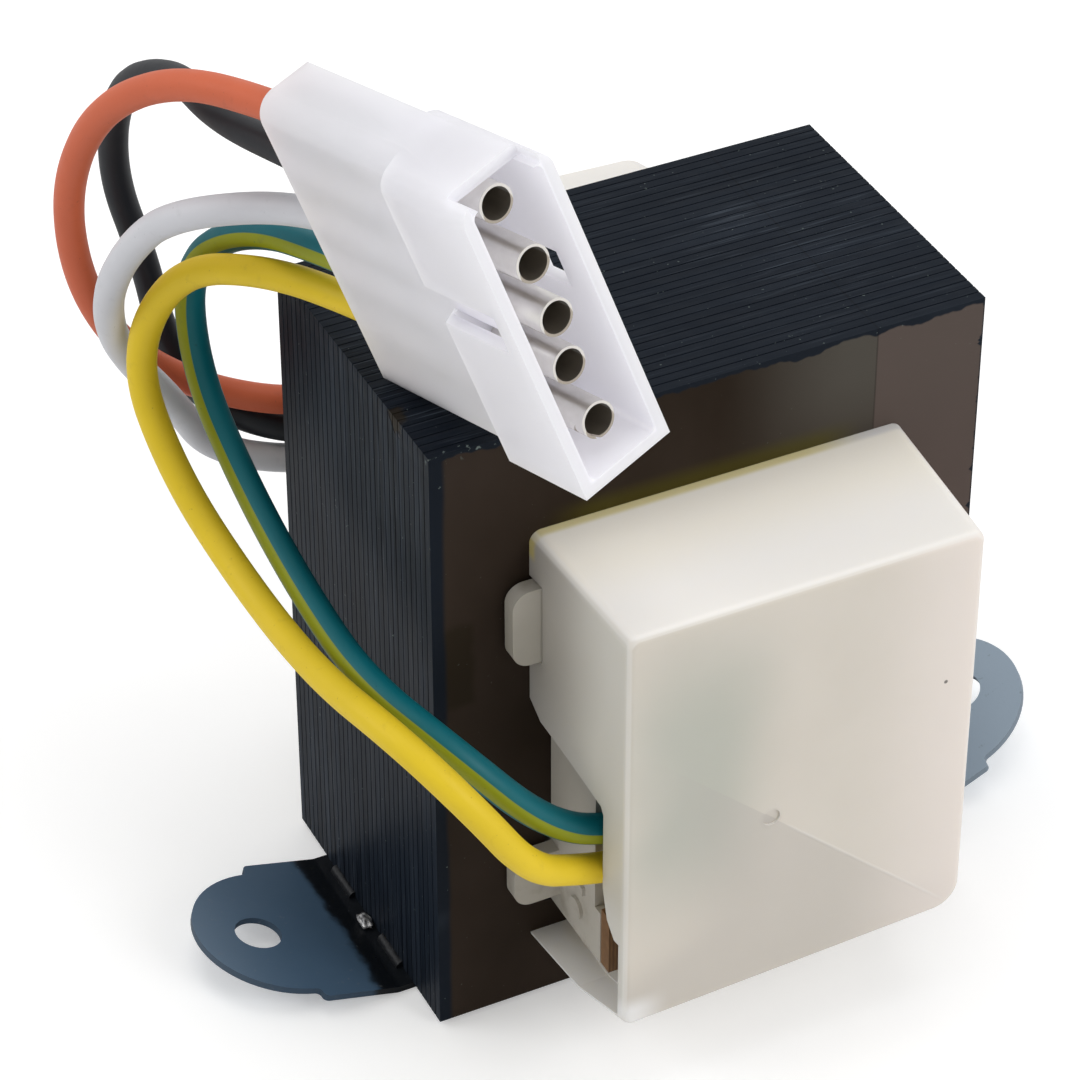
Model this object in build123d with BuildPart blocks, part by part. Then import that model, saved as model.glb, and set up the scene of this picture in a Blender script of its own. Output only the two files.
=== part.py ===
"""Heater transformer: EI core on a footed strip, split bobbin, two terminal covers, five-way lead.

Millimetres. X runs along the mounting strip, Y towards the back cover, Z up.
The origin is the middle of the strip's underside, under the middle of the core.
"""

from build123d import *
import math
import os

# core: one unit is the width of an outer leg, the whole core is 5 x 6 units
unit = 10.0
pair_pitch = 0.95
pair_count = 31
groove_w = 0.12
groove_d = 0.06

# mounting strip
plate_t = 0.6
strip_w = 18.5
bend_gap = 1.4
bend_r = 1.2
bend_root = 2.5
foot_start = 1.2
left_foot_angle = 15.0
right_foot_angle = 24.0
foot_straight = 7.2
foot_r = 8.1
foot_step_r = 0.5
foot_hole_at = 9.6
foot_hole_r = 2.1
weld_r = 0.6
weld_l = 4.0
weld_spacing = 10.0

# bobbin
leg_clear_y = 0.2
leg_clear_z = 0.2
bobbin_end_clear = 0.5
tube_wall = 1.0
tube_corner_r = 1.0
flange_t = 1.1
middle_flange_t = 1.0
flange_reach = 8.4
flange_half_h = 19.7
flange_low_half_h = 18.1
flange_corner_r = 1.5
window_clear = 0.3
rail_t = 1.2
rail_gap = 0.2
rail_h = 5.5
rail_low = 19.5
lug_reach = 4.2
lug_t = 1.5
lug_off = 0.3
lug_corner_r = 1.6
lug_heights = ((11.75, 7.5), (-15.5, 5.0))
boss_r = 1.0
boss_h = 0.3
boss_y = 5.2
boss_low = 16.6
rib_l = 2.8
rib_w = 0.8

# windings
coil_reach = 8.0
coil_half_h = 18.7
coil_corner_r = 8.0
tape_t = 0.3

# terminal boards and pins
board_t = 1.4
board_h = 6.0
board_low = 19.5
board_end_gap = 0.1
pin_r = 0.5
pin_pitch = 8.0
pin_count = 4
pin_low = 16.7
pin_out = 2.6
solder_r = 1.25
solder_tip_r = 0.75
solder_h = 1.7
joint_neck_r = 0.95
joint_r = 1.25

# terminal covers: distances from the middle of the core, then the draft over the depth
cover_depth = 15.0
cover_wall = 1.0
cover_left = 16.35
cover_right = 17.7
cover_above = 20.0
cover_below = 24.0
draft_left = 1.25
draft_right = 0.7
draft_above = 0.9
draft_below = 3.3
lip_depth = 7.8
lip_rise = 2.05
cover_corner_r = 1.1
cover_low_corner_r = 2.6
cover_edge_r = 0.7
cutout_in = 4.5
lug_notch_clear = 0.2
gate_at = (-1.8, -3.9)
gate_r = 0.8
gate_d = 0.2

# edge of the cover's cut-away side: distance out from the core's face, height from its middle
cutout_profile = (
    (-1.0, 3.0), (0.0, 3.0), (1.7, 1.6), (6.2, 0.7), (11.1, -0.5), (11.5, -1.2),
    (11.5, -9.0), (12.2, -12.0), (13.3, -13.4),
)

# connector: sizes in its own directions, mouth at zero depth
housing_row = 27.4
housing_t = 8.6
housing_l = 28.4
shroud_l = 11.0
shroud_far_l = 13.5
shroud_low_l = 10.4
shroud_step = 0.7
body_t = 5.6
body_corner_r = 2.0
shroud_corner_r = 1.8
housing_wall = 1.0
cavity_depth = 10.0
mouth_r = 0.6
circuit_pitch = 5.08
circuit_shift = -0.5
bore_r = 1.95
throat_r = 1.6
throat_depth = 16.0
groove_at = -1.7
latch_groove_w = 3.3
band_l = 1.7
tongue_t = 1.0
tongue_end = 4.2
window_l = 3.4
window_at = 3.4
notch_l = 2.6

# contacts
contact_or = 1.5
contact_wall = 0.22
contact_recess = (2.4, 0.9, 0.95, 2.25, 1.5)
seam_angles = (150.0, 215.0, 215.0, 180.0, 30.0)
seam_w = 0.3
bead_r = 1.85
bead_l = 1.0
neck_r = 1.0
tube_bore = 15.0
crimp_depth = 23.4
crimp_l = 2.8
crimp_cap_l = 0.7
crimp_clear = 0.02

# wires
wire_od = 2.6
lead_in = 9.0
fillet_share = 0.45

# sizes that follow from the ones above
stack = pair_pitch * pair_count
core_w = 5 * unit
core_h = 6 * unit
core_left = -core_w / 2
core_right = core_w / 2
core_mid = plate_t + core_h / 2
core_top = plate_t + core_h
core_face = stack / 2
space_l = core_w - 2 * unit
space_h = core_h / 2 - 2 * unit
bobbin_half_l = space_l / 2 - bobbin_end_clear
leg_tube_y = stack + 2 * leg_clear_y
leg_tube_z = 2 * unit + 2 * leg_clear_z
flange_half_y = core_face + flange_reach
coil_half_y = core_face + coil_reach
rail_near = coil_half_y + rail_gap
board_near = rail_near + rail_t
board_face = board_near + board_t
bend_x = core_right + bend_gap
turn_axis = Axis((0, 0, core_mid), (1, 0, 0))

# connector pose: row runs from the top circuit down, reach points out of the mouth
row_dir = Vector(0.3137, -0.1301, -0.9406)
reach_dir = Vector(0.1917, -0.9615, 0.1970)
mouth = Vector(-19.97, -28.51, core_top + 19.56)
housing_plane = Plane(origin=mouth, x_dir=row_dir, z_dir=reach_dir)
circuit_x = [circuit_shift + (number - 2) * circuit_pitch for number in range(5)]

# route of each wire from its solder joint to its housing, heights from the core's middle
routes = {
    "orange_wire": [
        (-5.3, 26.9, 15.2), (-8.4, 26.9, 11.62), (-13.4, 24.9, 8.4), (-19.4, 24.7, 8),
        (-27.6, 28, 10.3), (-34.2, 28.7, 16.4), (-37.8, 27.9, 25.1), (-38.7, 26.3, 35.3),
        (-37, 21.7, 44.7), (-33.4, 13.9, 50.9),
    ],
    "black_wire": [
        (2.9, 26.9, 14.9), (0.1, 26.9, 10.3), (-5.2, 26.2, 6.2), (-12.2, 24.65, 4.7),
        (-19.4, 24.7, 4.8), (-26.3, 29.4, 7.1), (-28.9, 32.2, 13.4), (-29.6, 33.6, 20.9),
        (-31.9, 34.3, 30.5), (-31.6, 31.2, 40.7), (-29.8, 22.6, 45.9), (-30, 13, 46.8),
    ],
    "white_wire": [
        (10.8, 26.9, 14.9), (7.8, 26.9, 10.4), (3.4, 26.9, 6.3), (-4.2, 26, 2.6),
        (-12.2, 24.65, 1.7), (-19.4, 24.7, 1.8), (-27.4, 26.4, 4.6), (-31.2, 24.5, 12.3),
        (-36.1, 24, 19.6), (-38.1, 20.2, 27.5), (-37.4, 15.9, 34.8), (-35.3, 10.3, 41.1),
    ],
    "green_yellow_wire": [
        (2.9, -26.9, -14.9), (-0.4, -26.9, -9.5), (-6, -25.9, -5.6), (-12.2, -24.65, -4.2),
        (-19, -24.65, -1.8), (-27, -22.6, 6.3), (-30.3, -13.5, 8.5), (-30, -0.4, 8.7),
        (-29.8, 11.8, 11.1), (-30.8, 19.6, 18.6), (-30.7, 20.4, 29.3), (-27.7, 13.1, 35.9),
    ],
    "yellow_wire": [
        (-5.3, -26.9, -15.2), (-8.4, -26.9, -11.62), (-12.6, -24.9, -8.6), (-16.9, -24.6, -7.4),
        (-23.9, -25.5, -3.2), (-28.1, -19.3, 4.8), (-31.4, -8.2, 5.1), (-32.5, 4.2, 7),
        (-35.2, 14.5, 12.3), (-36.4, 19.7, 21.5), (-33, 16.9, 31), (-28.3, 8.6, 34.6),
    ],
}
for x, points in zip(circuit_x, routes.values()):
    points[:] = [(along, across, core_mid + height) for along, across, height in points]
    for depth in (crimp_depth + lead_in, crimp_depth):
        at = mouth + row_dir * x - reach_dir * depth
        points.append((at.X, at.Y, at.Z))


os.makedirs("parts", exist_ok=True)


def cover_corners(depth, wall):
    """Corners of the cover's section at a depth from its rim, a wall's thickness inside."""
    share = depth / cover_depth
    left = cover_left - draft_left * share - wall
    right = cover_right - draft_right * share - wall
    top = core_mid + cover_above - draft_above * share - wall
    lip = max(0, depth - lip_depth) / (cover_depth - lip_depth)
    low_left = core_mid - cover_below + lip_rise * lip + wall
    low_right = core_mid - cover_below + draft_below * share + wall
    return (-left, low_left), (right, low_right), (right, top), (-left, top)


def bend_radii(points):
    """Radius at each inner point of a route, from the shorter run beside it and its turn."""
    radii = []
    for before, here, after in zip(points, points[1:], points[2:]):
        run_in = Vector(here) - Vector(before)
        run_out = Vector(after) - Vector(here)
        half_turn = math.radians(run_in.get_angle(run_out)) / 2
        shorter = min(run_in.length, run_out.length)
        radii.append(fillet_share * shorter / math.tan(half_turn))
    return radii


# stack of E laminations, its back at the left; fine grooves part each pair at the faces
with BuildPart() as e_laminations:
    with BuildSketch(Plane.XZ) as e_profile:
        with Locations((-unit / 2, core_mid)):
            Rectangle(core_w - unit, core_h)
        with Locations((0, core_mid)):
            with GridLocations(0, 2 * unit + space_h, 1, 2):
                Rectangle(space_l, space_h, mode=Mode.SUBTRACT)
    extrude(amount=core_face, both=True)
    with BuildSketch(Plane.XY) as e_back_comb:
        Rectangle(core_w, stack)
        with Locations((core_left, 0)):
            with GridLocations(0, pair_pitch, 1, pair_count - 1):
                Rectangle(2 * groove_d, groove_w, mode=Mode.SUBTRACT)
    extrude(amount=core_top, mode=Mode.INTERSECT)
    with BuildSketch(Plane.YZ) as e_edge_comb:
        with Locations((0, core_mid)):
            Rectangle(stack, core_h)
            with GridLocations(pair_pitch, core_h, pair_count - 1, 2):
                Rectangle(groove_w, 2 * groove_d, mode=Mode.SUBTRACT)
    extrude(amount=core_w, both=True, mode=Mode.INTERSECT)

# stack of I laminations, the upright bar at the right
with BuildPart() as i_laminations:
    with BuildSketch(Plane.XZ) as i_profile:
        with Locations((core_right - unit / 2, core_mid)):
            Rectangle(unit, core_h)
    extrude(amount=core_face, both=True)
    with BuildSketch(Plane.XY) as i_back_comb:
        Rectangle(core_w, stack)
        with Locations((core_right, 0)):
            with GridLocations(0, pair_pitch, 1, pair_count - 1):
                Rectangle(2 * groove_d, groove_w, mode=Mode.SUBTRACT)
    extrude(amount=core_top, mode=Mode.INTERSECT)
    with BuildSketch(Plane.YZ) as i_edge_comb:
        with Locations((0, core_mid)):
            Rectangle(stack, core_h)
            with GridLocations(pair_pitch, core_h, pair_count - 1, 2):
                Rectangle(groove_w, 2 * groove_d, mode=Mode.SUBTRACT)
    extrude(amount=core_w, both=True, mode=Mode.INTERSECT)

# one steel strip under the core, its two feet bent up a little
feet = {-1: math.radians(left_foot_angle), 1: math.radians(right_foot_angle)}
with BuildPart() as base_plate:
    lower = []
    upper = []
    for side, angle in feet.items():
        tip = Vector(side * math.cos(angle), math.sin(angle)) * bend_root + Vector(side * bend_x, 0)
        rise = Vector(-side * math.sin(angle), math.cos(angle)) * plate_t
        mitre = Vector(side * (bend_x - plate_t * math.tan(angle / 2)), plate_t)
        lower.append((tip, Vector(side * bend_x, 0)))
        upper.append((tip + rise, mitre))
    with BuildSketch(Plane.XZ) as strip_side:
        with BuildLine() as strip_edge:
            Polyline(
                *lower[0], *reversed(lower[1]), *upper[1], *reversed(upper[0]), close=True
            )
        make_face()
        for side in feet:
            bends = vertices().filter_by_position(
                Axis.X, *sorted((side * (bend_x - 0.5), side * (bend_x + 0.1)))
            )
            fillet(bends, radius=bend_r)
    extrude(amount=strip_w / 2, both=True)
    for side, angle in feet.items():
        foot_plane = Plane(
            origin=(side * bend_x, 0, 0),
            x_dir=(side * math.cos(angle), 0, math.sin(angle)),
            z_dir=(-side * math.sin(angle), 0, math.cos(angle)),
        )
        with BuildSketch(foot_plane) as foot_outline:
            with Locations((foot_straight, 0)):
                Circle(foot_r)
            with Locations((foot_start + (foot_straight + foot_r) / 2, 0)):
                Rectangle(foot_straight + foot_r, strip_w, mode=Mode.INTERSECT)
            with Locations(((foot_straight + foot_start) / 2, 0)):
                Rectangle(foot_straight - foot_start, strip_w)
            shoulders = vertices().filter_by_position(
                Axis.X, foot_straight - 0.1, foot_straight + 0.1
            )
            fillet(shoulders, radius=foot_step_r)
            with Locations((foot_hole_at, 0)):
                Circle(foot_hole_r, mode=Mode.SUBTRACT)
        extrude(amount=plate_t)

# weld beads in the corners between the strip and the two ends of the core
with BuildPart() as plate_welds:
    for side in (-1, 1):
        for y in (-weld_spacing / 2, weld_spacing / 2):
            with BuildSketch(Plane.XZ.offset(-y)) as bead_section:
                with Locations((side * core_right, plate_t)):
                    Circle(weld_r)
                    with Locations((side * weld_r / 2, weld_r / 2)):
                        Rectangle(weld_r, weld_r, mode=Mode.INTERSECT)
            extrude(amount=weld_l / 2, both=True)

# spool on the core's centre leg, split in two by its middle flange
with BuildPart() as bobbin:
    with BuildSketch(Plane.YZ.offset(-bobbin_half_l)) as leg_tube:
        with Locations((0, core_mid)):
            RectangleRounded(leg_tube_y + 2 * tube_wall, leg_tube_z + 2 * tube_wall, tube_corner_r)
            Rectangle(leg_tube_y, leg_tube_z, mode=Mode.SUBTRACT)
    extrude(amount=2 * bobbin_half_l)
    flange_spans = (
        (-bobbin_half_l, flange_t),
        (-middle_flange_t / 2, middle_flange_t),
        (bobbin_half_l - flange_t, flange_t),
    )
    for x, thickness in flange_spans:
        with BuildSketch(Plane.YZ.offset(x)) as flange_outline:
            with Locations((0, core_mid)):
                Rectangle(2 * core_face - 2 * window_clear, 2 * flange_half_h)
            for side in (-1, 1):
                middle = core_mid + side * (flange_half_h - flange_low_half_h) / 2
                with Locations((side * flange_half_y / 2, middle)):
                    Rectangle(flange_half_y, flange_half_h + flange_low_half_h)
            corners = vertices().filter_by_position(Axis.X, -flange_half_y - 1, -core_face)
            corners += vertices().filter_by_position(Axis.X, core_face, flange_half_y + 1)
            fillet(corners, radius=flange_corner_r)
            with Locations((0, core_mid)):
                Rectangle(leg_tube_y, leg_tube_z, mode=Mode.SUBTRACT)
        extrude(amount=thickness)
    for side in (-1, 1):
        rail_y = side * (rail_near + rail_t / 2)
        rail_z = core_mid + side * (rail_low - rail_h / 2)
        with Locations((0, rail_y, rail_z)):
            Box(2 * bobbin_half_l, rail_t, rail_h)
        with Locations((0, side * (flange_half_y + rail_near) / 2, rail_z)):
            with GridLocations(2 * bobbin_half_l - flange_t, 0, 2, 1):
                Box(flange_t, flange_half_y - rail_near + rail_t, rail_h)
        for height, length in lug_heights:
            lug_plane = Plane.XZ.offset(-side * (core_face + lug_off + lug_t / 2))
            with BuildSketch(lug_plane) as lug_outline:
                with Locations((-bobbin_half_l - lug_reach / 2, core_mid - side * height)):
                    Rectangle(lug_reach, length)
                fillet(vertices().group_by(Axis.X)[0], radius=lug_corner_r)
            extrude(amount=lug_t / 2, both=True)
        with BuildSketch(Plane.YZ.offset(-bobbin_half_l)) as flange_marks:
            with Locations((side * (core_face + boss_y), core_mid + side * boss_low)):
                Circle(boss_r)
            with Locations((side * (core_face + boss_y), core_mid + side * (boss_low - rib_l))):
                Rectangle(rib_l, rib_w)
        extrude(amount=-boss_h)
        with BuildSketch(Plane.XZ.offset(-side * rail_near)) as pin_holes:
            with Locations((0, core_mid + side * pin_low)):
                with GridLocations(pin_pitch, 0, pin_count, 1):
                    Circle(pin_r)
        extrude(amount=-side * rail_t, mode=Mode.SUBTRACT)

# the two windings, side by side, each between two flanges
coil_spans = {
    "primary": (-bobbin_half_l + flange_t, -middle_flange_t / 2),
    "secondary": (middle_flange_t / 2, bobbin_half_l - flange_t),
}
for name, (start, end) in coil_spans.items():
    with BuildPart() as winding:
        with BuildSketch(Plane.YZ.offset(start)) as winding_section:
            with Locations((0, core_mid)):
                RectangleRounded(
                    2 * (coil_half_y - tape_t), 2 * (coil_half_h - tape_t), coil_corner_r - tape_t
                )
                RectangleRounded(
                    leg_tube_y + 2 * tube_wall,
                    leg_tube_z + 2 * tube_wall,
                    tube_corner_r,
                    mode=Mode.SUBTRACT,
                )
        extrude(amount=end - start)
    winding.part.label = f"{name}_winding"
    export_step(winding.part, f"parts/{name}_winding.step")
    with BuildPart() as tape:
        with BuildSketch(Plane.YZ.offset(start)) as tape_section:
            with Locations((0, core_mid)):
                RectangleRounded(2 * coil_half_y, 2 * coil_half_h, coil_corner_r)
                RectangleRounded(
                    2 * (coil_half_y - tape_t),
                    2 * (coil_half_h - tape_t),
                    coil_corner_r - tape_t,
                    mode=Mode.SUBTRACT,
                )
        extrude(amount=end - start)
    tape.part.label = f"{name}_tape"
    export_step(tape.part, f"parts/{name}_tape.step")

# terminal board in front of the bobbin's rail, pierced for the pins
with BuildPart() as front_terminal_board:
    with BuildSketch(Plane.XZ.offset(board_near)) as board_outline:
        with Locations((0, core_mid - board_low + board_h / 2)):
            Rectangle(2 * (bobbin_half_l - board_end_gap), board_h)
        with Locations((0, core_mid - pin_low)):
            with GridLocations(pin_pitch, 0, pin_count, 1):
                Circle(pin_r, mode=Mode.SUBTRACT)
    extrude(amount=board_t)

with BuildPart() as rear_terminal_board:
    add(front_terminal_board.part.rotate(turn_axis, 180))

# tinned pins through the rail and the board
with BuildPart() as front_terminal_pins:
    with BuildSketch(Plane.XZ.offset(rail_near)) as pin_section:
        with Locations((0, core_mid - pin_low)):
            with GridLocations(pin_pitch, 0, pin_count, 1):
                Circle(pin_r)
    extrude(amount=rail_t + board_t + pin_out)
    chamfer(faces().group_by(Axis.Y)[0].edges(), length=pin_r / 3)

with BuildPart() as rear_terminal_pins:
    add(front_terminal_pins.part.rotate(turn_axis, 180))

# solder: a cone round every pin, and a tapered joint from the pin to each wire's end
soldered = {
    -1: ("front", ("yellow_wire", "green_yellow_wire")),
    1: ("rear", ("orange_wire", "black_wire", "white_wire")),
}
for side, (name, wires) in soldered.items():
    pin_z = core_mid + side * pin_low
    with BuildPart() as solder:
        board_plane = Plane(
            origin=(0, side * board_face, pin_z), x_dir=(1, 0, 0), z_dir=(0, side, 0)
        )
        with Locations(board_plane):
            with GridLocations(pin_pitch, 0, pin_count, 1):
                Cone(solder_r, solder_tip_r, solder_h, align=(Align.CENTER, Align.CENTER, Align.MIN))
        for wire in wires:
            end, before = (Vector(point) for point in routes[wire][:2])
            along = (end - before).normalized()
            pin_x = round((end.X + pin_pitch / 2) / pin_pitch) * pin_pitch - pin_pitch / 2
            pin_at = (Vector(pin_x, end.Y, pin_z) - end).length
            joint_plane = Plane(origin=end, x_dir=(0, 1, 0), z_dir=Vector(0, 1, 0).cross(along))
            with BuildSketch(joint_plane) as joint_profile:
                with BuildLine() as joint_edge:
                    top = pin_at + joint_r
                    Line((0, top), (0, 0))
                    Line((0, 0), (joint_neck_r, 0))
                    Spline(
                        (joint_neck_r, 0),
                        (joint_r, pin_at),
                        (0, top),
                        tangents=((0.3, 1), (-1, 0)),
                    )
                make_face()
            revolve(axis=Axis(end, along))
        with BuildSketch(Plane.XZ.offset(-side * board_face)) as pin_room:
            with Locations((0, pin_z)):
                with GridLocations(pin_pitch, 0, pin_count, 1):
                    Circle(pin_r)
        extrude(amount=-side * pin_out, mode=Mode.SUBTRACT)
    solder.part.label = f"{name}_solder"
    export_step(solder.part, f"parts/{name}_solder.step")

# moulded terminal cover, open towards the core, its left side cut away for the wires
with BuildPart() as front_cover:
    for depth in (0, lip_depth, cover_depth):
        corners = cover_corners(depth, 0)
        with BuildSketch(Plane.XZ.offset(core_face + depth)) as outside:
            with BuildLine() as outside_edge:
                Polyline(*corners, close=True)
            make_face()
            fillet(vertices().sort_by_distance(corners[1])[0], radius=cover_low_corner_r)
            for corner in (corners[0], *corners[2:]):
                fillet(vertices().sort_by_distance(corner)[0], radius=cover_corner_r)
    loft(ruled=True)
    fillet(faces().sort_by(Axis.Y)[0].edges(), radius=cover_edge_r)
    for depth in (0, lip_depth, cover_depth - cover_wall):
        corners = cover_corners(depth, cover_wall)
        with BuildSketch(Plane.XZ.offset(core_face + depth)) as inside:
            with BuildLine() as inside_edge:
                Polyline(*corners, close=True)
            make_face()
            low_corner = vertices().sort_by_distance(corners[1])[0]
            fillet(low_corner, radius=cover_low_corner_r - cover_wall)
    loft(ruled=True, mode=Mode.SUBTRACT)
    cut_plane = Plane.YZ.offset(-cover_left - 1)
    floor_back = cover_corners(0, cover_wall)[0][1]
    floor_front = cover_corners(cover_depth - cover_wall, cover_wall)[0][1]
    front_inside = -core_face - cover_depth + cover_wall
    with BuildSketch(cut_plane) as wire_cutout:
        with BuildLine() as cutout_edge:
            Polyline(
                *[(-core_face - out, core_mid + height) for out, height in cutout_profile],
                (front_inside, core_mid + cutout_profile[-1][1]),
                (front_inside, floor_front),
                (-core_face - lip_depth, floor_back),
                (-core_face - cutout_profile[0][0], floor_back),
                close=True,
            )
        make_face()
    extrude(amount=cutout_in, mode=Mode.SUBTRACT)
    lug_height, lug_length = lug_heights[0]
    notch_depth = lug_off + lug_t + lug_notch_clear
    with BuildSketch(cut_plane) as lug_notch:
        with Locations((-core_face - notch_depth / 2, core_mid + lug_height)):
            Rectangle(notch_depth, lug_length + 2 * lug_notch_clear)
    extrude(amount=cutout_in, mode=Mode.SUBTRACT)
    with BuildSketch(Plane.XZ.offset(core_face + cover_depth)) as gate_mark:
        with Locations((gate_at[0], core_mid + gate_at[1])):
            Circle(gate_r)
    extrude(amount=-gate_d, mode=Mode.SUBTRACT)

# the same moulding turned upside down on the back of the core
with BuildPart() as rear_cover:
    add(front_cover.part.rotate(turn_axis, 180))

# five-way housing: a thinner wire end, a wider shroud round the contacts' mouths
with BuildPart() as connector_housing:
    body_l = housing_l - cavity_depth
    with BuildSketch(housing_plane.offset(-housing_l)) as body_section:
        Rectangle(housing_row, body_t)
        fillet(vertices().group_by(Axis.X)[0].sort_by(Axis.Y)[0], radius=body_corner_r)
    extrude(amount=body_l)
    shroud_spans = (
        (-housing_row / 2, groove_at - latch_groove_w / 2, -1, shroud_l),
        (groove_at + latch_groove_w / 2, housing_row / 2, -1, shroud_low_l),
        (-housing_row / 2, housing_row / 2, 1, shroud_far_l),
    )
    for start, end, side, length in shroud_spans:
        steps = ((length, body_t / 2), (length - shroud_step, housing_t / 2))
        for depth, half_t in steps:
            with BuildSketch(housing_plane.offset(-depth)) as shroud_step_section:
                with Locations(((start + end) / 2, side * half_t / 2)):
                    Rectangle(end - start, half_t)
                if start == -housing_row / 2:
                    top_corners = vertices().group_by(Axis.X)[0].sort_by(Axis.Y)
                    fillet(top_corners[0 if side < 0 else -1], radius=shroud_corner_r)
        loft(ruled=True)
        with BuildSketch(housing_plane.offset(-length + shroud_step)) as shroud_section:
            with Locations(((start + end) / 2, side * housing_t / 4)):
                Rectangle(end - start, housing_t / 2)
            if start == -housing_row / 2:
                top_corners = vertices().group_by(Axis.X)[0].sort_by(Axis.Y)
                fillet(top_corners[0 if side < 0 else -1], radius=shroud_corner_r)
        extrude(amount=length - shroud_step)
    with BuildSketch(housing_plane.offset(-band_l)) as band_section:
        Rectangle(housing_row, housing_t)
        fillet(vertices().group_by(Axis.X)[0], radius=shroud_corner_r)
    extrude(amount=band_l)
    with BuildSketch(housing_plane) as mouth_section:
        RectangleRounded(
            housing_row - 2 * housing_wall, housing_t - 2 * housing_wall, mouth_r
        )
    extrude(amount=-cavity_depth, mode=Mode.SUBTRACT)
    with BuildSketch(housing_plane) as top_notch:
        with Locations((-housing_row / 2, 0)):
            Rectangle(2 * housing_wall, housing_t - 2 * housing_wall)
    extrude(amount=-notch_l, mode=Mode.SUBTRACT)
    with BuildSketch(housing_plane.offset(-cavity_depth)) as tongue_section:
        with Locations((groove_at, -body_t / 2 + tongue_t / 2)):
            Rectangle(latch_groove_w, tongue_t)
    extrude(amount=cavity_depth - tongue_end)
    with BuildSketch(housing_plane.offset(-window_at)) as far_window:
        with Locations((groove_at, housing_t / 2)):
            Rectangle(latch_groove_w, 3 * housing_wall)
    extrude(amount=-window_l, mode=Mode.SUBTRACT)
    with BuildSketch(housing_plane.offset(-housing_l)) as bore_section:
        with Locations(*[(x, 0) for x in circuit_x]):
            Circle(bore_r)
    extrude(amount=housing_l - throat_depth, mode=Mode.SUBTRACT)
    with BuildSketch(housing_plane.offset(-throat_depth)) as throat_section:
        with Locations(*[(x, 0) for x in circuit_x]):
            Circle(throat_r)
    extrude(amount=throat_depth - cavity_depth, mode=Mode.SUBTRACT)

# rolled socket contacts: split tube, stop bead, neck and crimp round the wire's end
for number in range(5):
    recess = contact_recess[number]
    circuit = housing_plane.offset(0).location * Location((circuit_x[number], 0, 0))
    circuit_plane = Plane(circuit)
    with BuildPart() as contact:
        side_plane = Plane(
            origin=circuit_plane.origin, x_dir=circuit_plane.x_dir, z_dir=-circuit_plane.y_dir
        )
        with BuildSketch(side_plane) as contact_profile:
            with BuildLine() as contact_edge:
                Polyline(
                    (contact_or - contact_wall, -recess),
                    (contact_or, -recess),
                    (contact_or, -throat_depth),
                    (bead_r, -throat_depth),
                    (bead_r, -throat_depth - bead_l),
                    (neck_r, -throat_depth - bead_l),
                    (neck_r, -crimp_depth + 2 * crimp_cap_l),
                    (bead_r, -crimp_depth + crimp_cap_l),
                    (bead_r, -crimp_depth - crimp_l),
                    (wire_od / 2 + crimp_clear, -crimp_depth - crimp_l),
                    (wire_od / 2 + crimp_clear, -crimp_depth),
                    (0, -crimp_depth),
                    (0, -tube_bore),
                    (contact_or - contact_wall, -tube_bore),
                    close=True,
                )
            make_face()
        revolve(axis=Axis(circuit_plane.origin, circuit_plane.z_dir))
        seam_plane = circuit_plane.rotated((0, 0, seam_angles[number]))
        with BuildSketch(seam_plane) as seam_section:
            with Locations((bead_r / 2, 0)):
                Rectangle(bead_r, seam_w)
        extrude(amount=-tube_bore, mode=Mode.SUBTRACT)
    contact.part.label = f"contact_{number + 1}"
    export_step(contact.part, f"parts/contact_{number + 1}.step")

# wires: straight runs joined by tangent arcs
for name, points in routes.items():
    radii = bend_radii(points)
    with BuildPart() as wire:
        with BuildLine() as wire_path:
            FilletPolyline(*points, radius=radii)
        with BuildSketch(Plane(origin=wire_path.line @ 0, z_dir=wire_path.line % 0)) as wire_section:
            Circle(wire_od / 2)
        sweep()
    length = sum(edge.length for edge in wire_path.edges())
    ideal = math.pi * (wire_od / 2) ** 2 * length
    print(name, "length", round(length, 1), "smallest bend", round(min(radii), 1))
    print(name, "volume over section x length", round(wire.part.volume / ideal, 4))
    wire.part.label = name
    export_step(wire.part, f"parts/{name}.step")

e_laminations.part.label = "e_laminations"
i_laminations.part.label = "i_laminations"
base_plate.part.label = "base_plate"
plate_welds.part.label = "plate_welds"
bobbin.part.label = "bobbin"
front_terminal_board.part.label = "front_terminal_board"
rear_terminal_board.part.label = "rear_terminal_board"
front_terminal_pins.part.label = "front_terminal_pins"
rear_terminal_pins.part.label = "rear_terminal_pins"
front_cover.part.label = "front_cover"
rear_cover.part.label = "rear_cover"
connector_housing.part.label = "connector_housing"

export_step(e_laminations.part, "parts/e_laminations.step")
export_step(i_laminations.part, "parts/i_laminations.step")
export_step(base_plate.part, "parts/base_plate.step")
export_step(plate_welds.part, "parts/plate_welds.step")
export_step(bobbin.part, "parts/bobbin.step")
export_step(front_terminal_board.part, "parts/front_terminal_board.step")
export_step(rear_terminal_board.part, "parts/rear_terminal_board.step")
export_step(front_terminal_pins.part, "parts/front_terminal_pins.step")
export_step(rear_terminal_pins.part, "parts/rear_terminal_pins.step")
export_step(front_cover.part, "parts/front_cover.step")
export_step(rear_cover.part, "parts/rear_cover.step")
export_step(connector_housing.part, "parts/connector_housing.step")
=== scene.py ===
# %% [markdown]
# # A heater transformer on a pale table
#
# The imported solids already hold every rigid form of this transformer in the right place. This
# lesson gives them their finishes, lays the soft leads as smooth curves, and rounds the moulded
# edges of the connector, because those three are what the eye looks for in such a part.

# %% Load the solids
import math
import bpy
import bmesh
from mathutils import Matrix, Vector


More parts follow.
